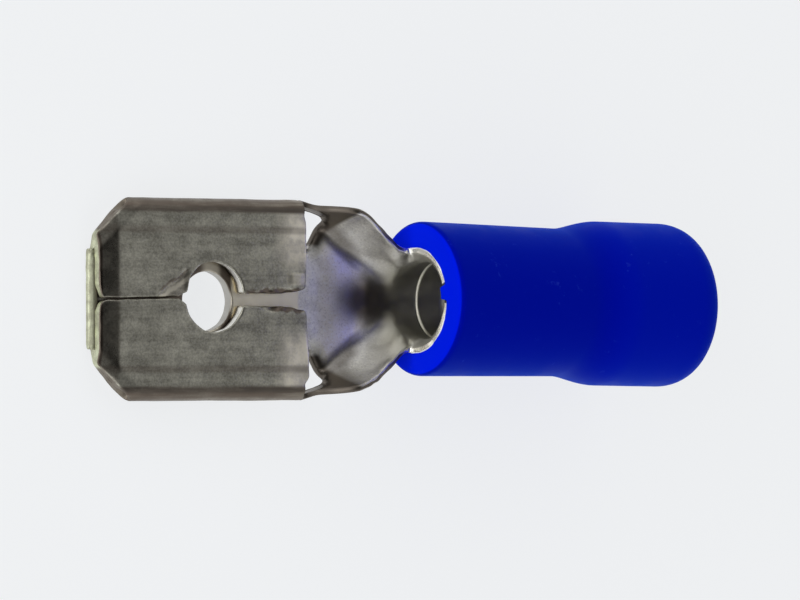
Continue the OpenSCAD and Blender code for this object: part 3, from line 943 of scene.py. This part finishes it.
def wear_group():
    """Mottle, specks and fine grain, from a place in millimetres."""
    found = bpy.data.node_groups.get("Surface wear")
    if found:
        return found
    tree = bpy.data.node_groups.new("Surface wear", "ShaderNodeTree")
    nodes = Nodes(tree)
    tree.interface.new_socket(name="Place", in_out="INPUT", socket_type="NodeSocketVector")
    for name in ("Patch scale", "Speck scale"):
        tree.interface.new_socket(name=name, in_out="INPUT", socket_type="NodeSocketFloat")
    for name in ("Patches", "Specks", "Grain"):
        tree.interface.new_socket(name=name, in_out="OUTPUT", socket_type="NodeSocketFloat")
    given = nodes.add("NodeGroupInput").outputs
    patch = nodes.noise(given["Place"], given["Patch scale"], 5.0, 0.6)
    speck = nodes.noise(given["Place"], given["Speck scale"], 2.0, 0.6)
    fine = nodes.noise(given["Place"], nodes.times(given["Speck scale"], 2.3), 2.0, 0.7)
    nodes.add(
        "NodeGroupOutput",
        {"Patches": nodes.ramp(patch, 0.35, 0.65), "Specks": nodes.ramp(speck, 0.62, 0.74), "Grain": fine},
    )
    return tree


def new_material(name, patch_scale, speck_scale):
    """A material, its nodes and what they know of the surface: place, facing and wear."""
    made = bpy.data.materials.new(name)
    made.use_nodes = True
    nodes = Nodes(made.node_tree)
    given = nodes.add("ShaderNodeTexCoord").outputs
    scaled = {0: given["Object"], "Scale": 1 / MM}
    on = SimpleNamespace(place=nodes.add("ShaderNodeVectorMath", scaled, operation="SCALE").outputs[0])
    on.x, on.y, on.up = nodes.split(on.place)
    on.facing = given["Normal"]
    inputs = {"Place": on.place, "Patch scale": patch_scale, "Speck scale": speck_scale}
    on.patches, on.specks, on.grain = nodes.add("ShaderNodeGroup", inputs, node_tree=wear_group()).outputs
    return made, nodes, on


def finish_material(nodes, height, strength, inputs):
    """The shader at the end of a material, with its fine relief as bump."""
    bump = nodes.add("ShaderNodeBump", {"Strength": strength, "Distance": RELIEF * MM, "Height": height})
    shader = nodes.add("ShaderNodeBsdfPrincipled", {**inputs, "Normal": bump.outputs[0]})
    nodes.add("ShaderNodeOutputMaterial", {"Surface": shader.outputs[0]})


def flap_tone(nodes, on, colours, z):
    """Tin of the tab: scuffed, worn at the flap ends, stained at folds, seam and lead-in, painted shade at
    folds, lead-in and hem gap, and a painted shadow and highlight at the pressed lip.
    """
    ramp, band, times, most = nodes.ramp, nodes.band, nodes.times, nodes.most
    x, y, side, back, fold_y = on.x, on.y, on.side, on.back, z.fold_y
    streak = nodes.noise(nodes.stretched(on.place, 0.25, 3.0, 3.0), 1.6, 4.0, 0.6)
    scuffs = nodes.plus(times(on.patches, 0.4), ramp(streak, 0.35, 0.65, 0.0, 0.35))
    scuffs = nodes.math("ADD", scuffs, ramp(on.grain, 0.35, 0.65, -0.05, 0.4), clamp=True)
    worn = times(ramp(back, -1.4, -0.5), ramp(side, 0.7, 1.5), on.upper, ramp(on.patches, 0.0, 1.0, 1.0, 0.6))
    pad = times(band(back, -0.8, -0.7, -0.06, 0.0), band(y, 0.42, 0.5, 0.8, 0.88), 0.45)
    worn = most(worn, pad)

    # The fold takes a brown stain, laid on darker as painted shade where the top turns over into the fold
    fold = times(ramp(side, fold_y - 0.12, fold_y + 0.05), ramp(side, fold_y + 0.15, fold_y + 0.3, 1.0, 0.95))
    fold = most(fold, times(band(side, 2.0, 2.12, 2.2, 2.35), 0.5))
    fold = times(fold, ramp(streak, 0.38, 0.58, 0.85, 1.0))
    # Painted shade: a dark line along the top of the fold's turn
    crease = band(side, fold_y - 0.06, fold_y + 0.04, fold_y + 0.1, fold_y + 0.2)
    crease = times(crease, ramp(streak, 0.38, 0.58, 0.1, 0.9))
    ragged = nodes.math("MULTIPLY_ADD", nodes.noise(on.place, 2.6), 0.5, -0.25)
    seam = nodes.plus(y, ragged)
    low_chip = times(band(back, -1.4, -1.1, -0.2, 0.0), ramp(seam, -0.42, -0.34), ramp(y, 0.02, -0.02))
    high_chip = times(band(back, -2.4, -2.2, -0.2, 0.0), ramp(seam, 0.38, 0.28), ramp(y, -0.02, 0.02))
    chips = times(most(low_chip, high_chip), on.upper)

    line = nodes.math("MULTIPLY_ADD", nodes.less(x, z.notch_x), -z.press_slope, -z.press_off)
    line = nodes.plus(line, y, times(ragged, 0.6))
    pressed = times(ramp(x, z.notch_x - 1.1, z.notch_x - 0.85), ramp(x, z.notch_x + 0.2, z.notch_x + 0.05))
    pressed = times(pressed, ramp(y, 0.02, 0.1), on.upper)
    # Painted shadow: a dark line along the edge of the pressed lip
    lip_shadow = most(ramp(line, 0.03, -0.03, 0.0, 0.5), band(line, -0.14, -0.06, -0.01, 0.04))
    lip_shadow = times(lip_shadow, pressed, 0.75)
    # Painted highlight: a light band inside the pressed lip
    gleam = times(band(line, -0.4, -0.32, -0.26, -0.18), pressed, 0.5)

    # The lead-in takes a brown stain that is also painted shade of the bevel, strongest at the tip
    tip_line = ramp(x, z.tip_x + 0.14, z.tip_x + 0.08, 0.4, 1.0)
    # Painted shade: darker at the height of the hem gap, where the layers meet and where the base shows
    # through the hole and seam, away from the tip; the base near and behind the hole is laid lighter again
    hem = times(band(on.over, -0.075, -0.035, 0.035, 0.075), ramp(x, z.tip_x + 0.3, z.tip_x + 0.5))
    base = times(band(x, z.hole_x - 0.3, z.hole_x, z.hole_x + 0.35, z.hole_x + 0.6), 0.5)
    base = times(nodes.plus(base, ramp(x, z.hole_x + 0.85, z.hole_x + 1.0)), hem)
    return nodes.layers(
        colours.tin,
        (scuffs, colours.tin_dull),
        (worn, colours.worn_tin),
        (most(fold, chips, lip_shadow), colours.stain),
        (gleam, colours.worn_tin),
        (crease, colours.edge_dark),
        (most(times(on.lead, tip_line), hem), colours.stain),
        (base, colours.worn_tin),
    )


def neck_tone(nodes, on, colours, z):
    """Tin of neck and barrel: bright, partly as a painted highlight, with painted shade in the bends,
    corners, throat, lower wing, window facets and barrel, and a burnished rim with a painted highlight.
    """
    ramp, band, times = nodes.ramp, nodes.band, nodes.times
    x, y, side, back, wing = on.x, on.y, on.side, on.back, on.wing
    warm = times(ramp(wing, 0.1, -0.2), band(back, 0.5, 1.1, 2.3, 2.9), 0.6)
    glints = times(on.specks, ramp(nodes.noise(on.place, 1.3), 0.45, 0.6, 0.0, 0.8))
    # Painted shade: the lower wing is laid darker than the upper one
    dulled = times(ramp(wing, 0.4, 0.7), ramp(y, 0.3, -0.3, 0.0, 0.24))
    # Painted shade: darker from the throat into the barrel, less towards +Y
    barrel_shade = times(on.inside, ramp(y, 0.7, 1.3, 1.0, 0.3))
    # Painted shade: darker along the bends of the wings, at the front of the lower wing, at the back of the
    # wings and in a spot in the throat
    bend = times(band(wing, -0.3, 0.0, 0.36, 0.7), band(back, 0.6, 0.9, 1.9, 2.8), 0.75)
    corner = times(ramp(back, 1.9, 1.3), ramp(y, 0.0, -0.3, 0.0, 0.65), ramp(wing, 0.0, 0.3))
    wing_end_shade = times(band(back, 1.9, 2.6, 3.0, 3.6), ramp(wing, 0.3, 0.6, 0.0, 0.2))
    throat = ramp(nodes.away(on.place, z.flap_end_x + 2.6, 0.7, 0.9), 1.1, 0.3)
    painted_shade = times(nodes.most(bend, corner, wing_end_shade, throat), on.upper)
    # Painted shade: a darker facet between the back corner of each window and the wing
    window = nodes.plus(back, nodes.math("MULTIPLY_ADD", side, -0.62, 0.32))
    window = times(ramp(window, 0.2, -0.02), ramp(side, 1.6, 1.8))
    # Burnished rim, laid on its upper half only, where it also stands as a painted highlight
    rim = times(band(x, z.rim_x - 0.06, z.rim_x, z.rim_x + 0.36, z.rim_x + 0.48), ramp(on.up, -0.35, -0.15))
    return nodes.layers(
        colours.tin_bright,
        (times(on.patches, 0.4), colours.tin),
        (warm, colours.worn_tin),
        (ramp(on.grain, 0.46, 0.3, 0.0, 0.3), colours.tin_dull),
        (ramp(on.grain, 0.53, 0.66), colours.burnish),
        (glints, colours.burnish),
        (dulled, colours.tin_bore),
        (barrel_shade, colours.tin_bore),
        (painted_shade, colours.edge_dark),
        (window, colours.edge_dark),
        (rim, colours.burnish),
    )


def tinned_material(colours, z):
    """Tinned sheet: the tab's tone as far as the flaps reach, and the neck's tone behind them."""
    made, nodes, on = new_material("Tinned sheet", 1.7, 6.0)
    ramp, band, times = nodes.ramp, nodes.band, nodes.times
    on.side = nodes.math("ABSOLUTE", on.y)
    on.back = nodes.less(on.x, z.flap_end_x)
    on.over = nodes.less(on.up, z.hem_z)
    on.wing = nodes.less(on.side, nodes.math("MULTIPLY_ADD", on.back, -z.fold_y / z.neck_len, z.fold_y))
    on.upper = ramp(nodes.split(on.facing)[2], -0.15, 0.05)
    on.lead = ramp(on.x, z.tip_x + z.lead_len + 0.08, z.tip_x + z.lead_len - 0.08)
    on.inside = ramp(on.x, z.rim_x - 1.5, z.rim_x - 0.1)

    on_flap = times(ramp(on.back, 0.22, 0.18), ramp(on.over, 0.025, 0.085))
    on_flap = times(on_flap, ramp(on.side, z.fold_y, z.fold_y - 0.05))
    above = times(nodes.most(ramp(on.back, 0.05, -0.05), on_flap), on.upper)
    below = times(ramp(on.back, 1.0, -1.0), nodes.less(1.0, on.upper))
    on_tab = nodes.plus(above, below)
    tone = nodes.mix(on_tab, neck_tone(nodes, on, colours, z), flap_tone(nodes, on, colours, z))

    floor = times(ramp(on.wing, 0.1, -0.2, 0.0, 0.04), band(on.back, 0.0, 0.1, 2.0, 3.0))
    rough = nodes.less(ramp(on.patches, 0.0, 1.0, 0.34, 0.44), nodes.plus(times(on.lead, 0.08), floor))
    hammered = times(nodes.noise(on.place, 3.5, 2.0), ramp(on.inside, 0.0, 1.0, 1.2, 0.2))
    relief = nodes.plus(times(on.grain, 0.6), times(on.specks, 0.3))
    relief = times(relief, ramp(on_tab, 0.0, 1.0, 0.4, 1.0))
    relief = nodes.plus(relief, times(hammered, nodes.less(1.0, on_tab)))
    finish_material(nodes, relief, 0.3, {"Base Color": tone, "Roughness": rough, "Metallic": 1.0})
    return made


def brass_material(colours, z):
    """Sheared edges: fresh brass at the tip, dull elsewhere, a painted highlight on the hole's walls, and
    burnished at the rim.
    """
    made, nodes, on = new_material("Sheared brass", 3.0, 9.0)
    ramp, times, x = nodes.ramp, nodes.times, on.x
    over = nodes.less(on.up, z.hem_z)
    fresh = ramp(x, z.tip_x + 0.2, z.tip_x + 0.05)
    neck = ramp(x, z.flap_end_x - 0.1, z.flap_end_x + 0.05)
    punched = ramp(nodes.away(on.place, z.hole_x), z.flap_hole_d / 2 + 0.2, z.flap_hole_d / 2 + 0.1)
    # Painted highlight: bright bands on the walls of the flaps' hole
    wall_highlight = nodes.most(ramp(over, 0.105, 0.205), ramp(over, 0.035, -0.065, 0.0, 0.45))
    rim = times(ramp(x, z.rim_x - 0.4, z.rim_x - 0.1), ramp(x, z.rim_x + 0.3, z.rim_x + 0.2))
    tone = nodes.layers(
        colours.brass_dull,
        (fresh, colours.brass),
        (times(on.patches, 0.45), colours.stain),
        (neck, colours.edge_dark),
        (punched, colours.edge_dark),
        (times(punched, wall_highlight), colours.burnish),
        (rim, colours.burnish),
    )
    rough = nodes.less(ramp(on.patches, 0.0, 1.0, 0.42, 0.55), times(rim, 0.25))
    finish_material(nodes, on.grain, 0.3, {"Base Color": tone, "Roughness": rough, "Metallic": 1.0})
    return made


def sleeve_material(colours, z):
    """Blue plastic, lighter towards the wire end, with painted light on the front face that looks towards the
    lamp, and a little dust.
    """
    made, nodes, on = new_material("Blue sleeve", 0.6, 5.0)
    # Lighter towards the wire end, behind the step
    thin = nodes.ramp(on.x, -z.entry_len - 0.8 * z.step_len, -z.entry_len)
    # Painted light: the face that looks forward, towards the lamp, is laid in a brighter blue
    cut = nodes.ramp(nodes.split(on.facing)[0], -0.68, -0.95)
    dust = nodes.times(on.specks, nodes.ramp(nodes.noise(on.place, 1.1), 0.5, 0.7, 0.0, 0.25))
    tone = nodes.layers(
        colours.blue, (thin, colours.blue_thin), (cut, colours.blue_cut), (dust, colours.blue_dust)
    )
    inputs = {
        "Base Color": tone,
        "Roughness": nodes.ramp(on.patches, 0.0, 1.0, 0.36, 0.46),
        "Specular IOR Level": 0.012,
        "Specular Tint": rgba(colours.blue_dust),
        "Sheen Weight": 0.8,
        "Sheen Roughness": 0.4,
        "Sheen Tint": rgba(colours.blue_sheen),
    }
    finish_material(nodes, on.grain, 0.2, inputs)
    return made


# Operators


class TERMINAL_OT_sheet(bpy.types.Operator):
    """Cut and form the tinned sheet in place of the plain solid"""

    bl_idname = "terminal.sheet"
    bl_label = "Formed sheet"

    def execute(self, context):
        settings = context.scene.terminal_sheet
        blank = Blank(plain(settings))
        piece = bpy.data.objects.new("formed_sheet", blank.mesh("formed_sheet"))
        context.scene.collection.objects.link(piece)
        colours = context.scene.terminal_colours
        piece.data.materials.append(tinned_material(colours, blank.z))
        piece.data.materials.append(brass_material(colours, blank.z))
        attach(piece, "root")
        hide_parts("terminal")
        return {"FINISHED"}


class TERMINAL_OT_sleeve(bpy.types.Operator):
    """Turn the soft sleeve in place of the plain solid"""

    bl_idname = "terminal.sleeve"
    bl_label = "Sleeve"

    def execute(self, context):
        scene = context.scene
        sheet, sizes = plain(scene.terminal_sheet), plain(scene.terminal_sleeve)
        mid_r = -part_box("terminal")[0].z / MM - sheet.sheet_t / 2
        seam_half = math.asin(sheet.barrel_seam / 2 / mid_r)
        mesh = sleeve_mesh("soft_sleeve", sizes, sheet.seam_turn, seam_half)
        piece = bpy.data.objects.new("soft_sleeve", mesh)
        scene.collection.objects.link(piece)
        mesh.materials.append(sleeve_material(scene.terminal_colours, sizes))
        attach(piece, "root")
        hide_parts("sleeve")
        return {"FINISHED"}


def view_axes(stage):
    """Right, up and forward of the camera, by the tilt, yaw and roll of the view."""
    t, yaw, roll = stage.tilt, stage.yaw, stage.roll
    u = Vector((math.cos(t), 0, math.sin(t)))
    v = Vector((0, 1, 0))
    f = Vector((math.sin(t), 0, -math.cos(t)))
    forward = math.cos(yaw) * f + math.sin(yaw) * v
    side = -math.sin(yaw) * f + math.cos(yaw) * v
    right = math.cos(roll) * u + math.sin(roll) * side
    up = -math.sin(roll) * u + math.cos(roll) * side
    return right, up, forward


class TERMINAL_OT_stage(bpy.types.Operator):
    """Lay the floor, light the terminal softly and aim the camera"""

    bl_idname = "terminal.stage"
    bl_label = "Stage"

    def execute(self, context):
        scene = context.scene
        stage = scene.terminal_stage
        self.floor(scene, stage)
        self.light(scene, stage)
        camera = bpy.data.cameras.new("Camera")
        camera.lens = stage.lens / MM
        camera.sensor_width = FILM
        camera.clip_start = stage.reach / 20
        camera.clip_end = stage.reach * 50
        right, up, forward = view_axes(stage)
        holder = bpy.data.objects.new("Camera", camera)
        aim = Vector(stage.aim) + stage.aim_right * right + stage.aim_up * up
        eye = Vector(stage.aim) - stage.reach * forward
        look = (aim - eye).normalized()
        across = look.cross(up).normalized()
        turn = Matrix((across, across.cross(look), -look)).transposed()
        holder.matrix_world = Matrix.Translation(eye) @ turn.to_4x4()
        scene.collection.objects.link(holder)
        scene.camera = holder
        scene.view_settings.view_transform = "Standard"
        return {"FINISHED"}

    def floor(self, scene, stage):
        """Lay the floor under what the terminal rests on: the tab's tip and the sleeve's front edge."""
        sheet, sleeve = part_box("terminal"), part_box("sleeve")
        tip, round_edge = scene.terminal_sheet, scene.terminal_sleeve
        toe = Vector((sheet[0].x + tip.stub_len + tip.lead_len, 0, sheet[0].z))
        heel = Vector((sleeve[0].x + round_edge.front_round, 0, -round_edge.front_d / 2))
        slope = math.atan2(toe.z - heel.z, heel.x - toe.x)
        half = stage.floor_size / 2
        corners = [(-half, -half, 0), (half, -half, 0), (half, half, 0), (-half, half, 0)]
        mesh = bpy.data.meshes.new("floor")
        mesh.from_pydata(corners, [], [(0, 1, 2, 3)])
        floor = bpy.data.objects.new("floor", mesh)
        floor.rotation_euler = (0, slope, 0)
        floor.location = (toe + heel) / 2 - Vector((0, 0, stage.floor_gap))
        scene.collection.objects.link(floor)
        made = bpy.data.materials.new("Floor")
        made.use_nodes = True
        nodes = Nodes(made.node_tree)
        path = nodes.add("ShaderNodeLightPath").outputs
        seen = nodes.most(path["Is Camera Ray"], path["Is Glossy Ray"], path["Is Transmission Ray"])
        tone = rgba(scene.terminal_colours.floor)
        pale = nodes.mix(seen, tone, rgba(0.3 * v for v in tone[:3]))
        shade = nodes.add("ShaderNodeBsdfDiffuse", {"Color": pale}).outputs[0]
        strength = nodes.times(seen, stage.floor_glow)
        glow = nodes.add("ShaderNodeEmission", {"Color": tone, "Strength": strength})
        both = nodes.add("ShaderNodeAddShader", {0: shade, 1: glow.outputs[0]})
        nodes.add("ShaderNodeOutputMaterial", {"Surface": both.outputs[0]})
        mesh.materials.append(made)

    def light(self, scene, stage):
        """A soft sky, darker overhead than at the horizon, and one wide lamp in front of the tab."""
        world = bpy.data.worlds.new("Soft studio")
        scene.world = world
        world.use_nodes = True
        nodes = Nodes(world.node_tree)
        ramp, times, plus = nodes.ramp, nodes.times, nodes.plus
        x, y, up = nodes.split(nodes.add("ShaderNodeTexCoord").outputs["Generated"])
        high = times(ramp(up, 0.98, 0.82, 0.02, 0.44), ramp(x, 0.0, 0.4, 0.4, 1.0))
        aside = plus(ramp(y, 0.55, 1.0, 0.0, 0.42), ramp(y, -0.55, -1.0, 0.0, 0.38))
        low = ramp(up, 0.75, 0.3, 0.0, 0.5)
        behind = times(ramp(up, 0.8, 0.65), ramp(x, 0.5, 0.7, 0.0, 0.3))
        dimmed = ramp(nodes.less(x, up), 0.0, 0.6, 1.0, 0.5)
        front = times(ramp(x, -0.2, -0.8), ramp(up, 0.85, 0.4), 0.9)
        level = plus(times(plus(high, aside, low, behind), dimmed), front)
        sky = nodes.add("ShaderNodeBackground", {"Strength": level})
        nodes.add("ShaderNodeOutputWorld", {"Surface": sky.outputs[0]})
        lamp = bpy.data.lights.new("Front light", "AREA")
        lamp.shape = "DISK"
        lamp.size = stage.lamp_size
        lamp.energy = stage.lamp_power
        holder = bpy.data.objects.new("Front light", lamp)
        toward = Vector(LAMP_SIDE)
        holder.location = toward * stage.lamp_reach
        holder.rotation_euler = toward.to_track_quat("Z", "Y").to_euler()
        scene.collection.objects.link(holder)


class TERMINAL_PT_panel(bpy.types.Panel):
    """Lists the pieces of the terminal"""

    bl_label = "Spade terminal"
    bl_idname = "TERMINAL_PT_panel"
    bl_space_type = "VIEW_3D"
    bl_region_type = "UI"
    bl_category = "Terminal"

    def draw(self, context):
        for operator in OPERATORS:
            self.layout.operator(operator.bl_idname)


GROUPS = {
    "terminal_sheet": SheetSizes,
    "terminal_sleeve": SleeveSizes,
    "terminal_colours": FinishColours,
    "terminal_stage": StageSizes,
}
OPERATORS = (TERMINAL_OT_sheet, TERMINAL_OT_sleeve, TERMINAL_OT_stage)
CLASSES = (*GROUPS.values(), *OPERATORS, TERMINAL_PT_panel)


def register():
    for cls in CLASSES:
        bpy.utils.register_class(cls)
    for name, group in GROUPS.items():
        setattr(bpy.types.Scene, name, bpy.props.PointerProperty(type=group))


def unregister():
    for name in GROUPS:
        delattr(bpy.types.Scene, name)
    for cls in reversed(CLASSES):
        bpy.utils.unregister_class(cls)


def main():
    register()
    bpy.ops.terminal.sheet()
    bpy.ops.terminal.sleeve()
    bpy.ops.terminal.stage()


if __name__ == "__main__":
    main()
